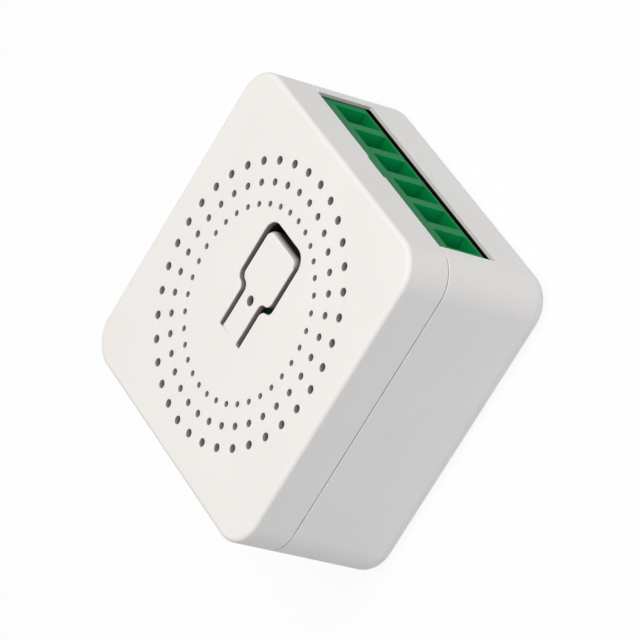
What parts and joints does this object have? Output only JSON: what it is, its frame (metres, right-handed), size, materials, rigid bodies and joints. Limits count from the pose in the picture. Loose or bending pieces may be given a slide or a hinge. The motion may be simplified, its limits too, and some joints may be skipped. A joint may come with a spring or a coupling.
{
  "type": "smart relay module",
  "caption": "Square white relay module with rounded corners, a vented face with a sprung button tongue, and a green screw terminal block in one side.",
  "frame": {"origin": "centre of the rear face", "axes": "+Z out of the front face, -Y towards the wire entries"},
  "size_m": [0.0406, 0.0406, 0.0208],
  "materials": {
    "housing_white": "fine matt moulding texture",
    "terminal_green": "satin moulded plastic",
    "board_green": "solder mask",
    "screw_steel": "zinc plated",
    "cage_metal": "nickel plated",
    "tinned_metal": "tinned",
    "plated_steel": "plated sheet",
    "spring_copper": "bare copper alloy",
    "enamelled_wire": "enamelled copper wire",
    "dark_plastic": "moulded",
    "pale_plastic": "moulded",
    "relay_blue": "moulded",
    "radio_blue": "solder mask",
    "clear_lens": "clear resin",
    "sleeve_dark": "shrink sleeve",
    "ferrite": "sintered",
    "winding_tape": "polyester tape",
    "coated_blue": "dipped coating",
    "coated_green": "dipped coating"
  },
  "bodies": {
    "housing": {"front_cover": "housing_white", "rear_shell": "housing_white", "main_board": "board_green", "terminal_block": "terminal_green", "terminal_bar_1": "tinned_metal", "terminal_bar_2": "tinned_metal", "terminal_bar_3": "tinned_metal", "terminal_bar_4": "tinned_metal", "terminal_bar_5": "tinned_metal", "terminal_bar_6": "tinned_metal", "switch_body": "dark_plastic", "switch_frame": "plated_steel", "status_light": "clear_lens", "relay_case": "relay_blue", "relay_base": "dark_plastic", "relay_bobbin": "pale_plastic", "relay_winding": "enamelled_wire", "relay_core": "plated_steel", "relay_spring_post": "spring_copper", "relay_contact": "spring_copper", "relay_coil_pin_1": "tinned_metal", "relay_coil_pin_2": "tinned_metal", "radio_board": "radio_blue", "radio_shield": "plated_steel", "radio_antenna": "spring_copper", "bulk_capacitor_1": "sleeve_dark", "bulk_capacitor_2": "sleeve_dark", "output_capacitor": "sleeve_dark", "transformer_core": "ferrite", "transformer_bobbin": "dark_plastic", "transformer_winding": "winding_tape", "bridge_rectifier": "dark_plastic", "supply_chip": "dark_plastic", "varistor": "coated_blue", "fuse_resistor": "coated_green"},
    "button": {"button_tongue": "housing_white"},
    "plunger": {"switch_plunger": "dark_plastic"},
    "screw_1": {"terminal_screw_1": "screw_steel"},
    "screw_2": {"terminal_screw_2": "screw_steel"},
    "screw_3": {"terminal_screw_3": "screw_steel"},
    "screw_4": {"terminal_screw_4": "screw_steel"},
    "screw_5": {"terminal_screw_5": "screw_steel"},
    "screw_6": {"terminal_screw_6": "screw_steel"},
    "cage_1": {"clamp_cage_1": "cage_metal"},
    "cage_2": {"clamp_cage_2": "cage_metal"},
    "cage_3": {"clamp_cage_3": "cage_metal"},
    "cage_4": {"clamp_cage_4": "cage_metal"},
    "cage_5": {"clamp_cage_5": "cage_metal"},
    "cage_6": {"clamp_cage_6": "cage_metal"},
    "armature": {"relay_armature": "plated_steel", "relay_card": "pale_plastic"},
    "contact_leaf": {"relay_spring": "spring_copper"}
  },
  "joints": [
    {"name": "button_press", "type": "hinge", "parent": "housing", "child": "button", "pos_m": [0, 0.0044, 0.0193], "axis": [1, 0, 0], "range_deg": [0, 1.5], "stiffness_Nm_per_rad": 0.57},
    {"name": "plunger_press", "type": "slide", "parent": "housing", "child": "plunger", "axis": [0, 0, -1], "range_m": [0, 0.00025]},
    {"name": "screw_1_turn", "type": "hinge", "parent": "housing", "child": "screw_1", "pos_m": [-0.0125, -0.0146, 0.0021], "axis": [0, 0, 1], "range_deg": [0, 2160]},
    {"name": "cage_1_lift", "type": "slide", "parent": "housing", "child": "cage_1", "axis": [0, 0, -1], "range_m": [0, 0.003]},
    {"name": "screw_2_turn", "type": "hinge", "parent": "housing", "child": "screw_2", "pos_m": [-0.0075, -0.0146, 0.0021], "axis": [0, 0, 1], "range_deg": [0, 2160]},
    {"name": "cage_2_lift", "type": "slide", "parent": "housing", "child": "cage_2", "axis": [0, 0, -1], "range_m": [0, 0.003]},
    {"name": "screw_3_turn", "type": "hinge", "parent": "housing", "child": "screw_3", "pos_m": [-0.0025, -0.0146, 0.0021], "axis": [0, 0, 1], "range_deg": [0, 2160]},
    {"name": "cage_3_lift", "type": "slide", "parent": "housing", "child": "cage_3", "axis": [0, 0, -1], "range_m": [0, 0.003]},
    {"name": "screw_4_turn", "type": "hinge", "parent": "housing", "child": "screw_4", "pos_m": [0.0025, -0.0146, 0.0021], "axis": [0, 0, 1], "range_deg": [0, 2160]},
    {"name": "cage_4_lift", "type": "slide", "parent": "housing", "child": "cage_4", "axis": [0, 0, -1], "range_m": [0, 0.003]},
    {"name": "screw_5_turn", "type": "hinge", "parent": "housing", "child": "screw_5", "pos_m": [0.0075, -0.0146, 0.0021], "axis": [0, 0, 1], "range_deg": [0, 2160]},
    {"name": "cage_5_lift", "type": "slide", "parent": "housing", "child": "cage_5", "axis": [0, 0, -1], "range_m": [0, 0.003]},
    {"name": "screw_6_turn", "type": "hinge", "parent": "housing", "child": "screw_6", "pos_m": [0.0125, -0.0146, 0.0021], "axis": [0, 0, 1], "range_deg": [0, 2160]},
    {"name": "cage_6_lift", "type": "slide", "parent": "housing", "child": "cage_6", "axis": [0, 0, -1], "range_m": [0, 0.003]},
    {"name": "armature_pull", "type": "hinge", "parent": "housing", "child": "armature", "pos_m": [0.0013, 0.0121, 0.01225], "axis": [0, 1, 0], "range_deg": [0, 5], "stiffness_Nm_per_rad": 0.03},
    {"name": "contact_flex", "type": "hinge", "parent": "housing", "child": "contact_leaf", "pos_m": [0.00556, 0.0121, 0.0127], "axis": [0, 1, 0], "range_deg": [0, 4.75]}
  ],
  "couplings": [
    {"joint": "button_press", "follows": "plunger_press", "rad_per_m": 103.09},
    {"joint": "screw_1_turn", "follows": "cage_1_lift", "rad_per_m": 12566},
    {"joint": "screw_2_turn", "follows": "cage_2_lift", "rad_per_m": 12566},
    {"joint": "screw_3_turn", "follows": "cage_3_lift", "rad_per_m": 12566},
    {"joint": "screw_4_turn", "follows": "cage_4_lift", "rad_per_m": 12566},
    {"joint": "screw_5_turn", "follows": "cage_5_lift", "rad_per_m": 12566},
    {"joint": "screw_6_turn", "follows": "cage_6_lift", "rad_per_m": 12566},
    {"joint": "contact_flex", "follows": "armature_pull", "ratio": 0.9451}
  ]
}
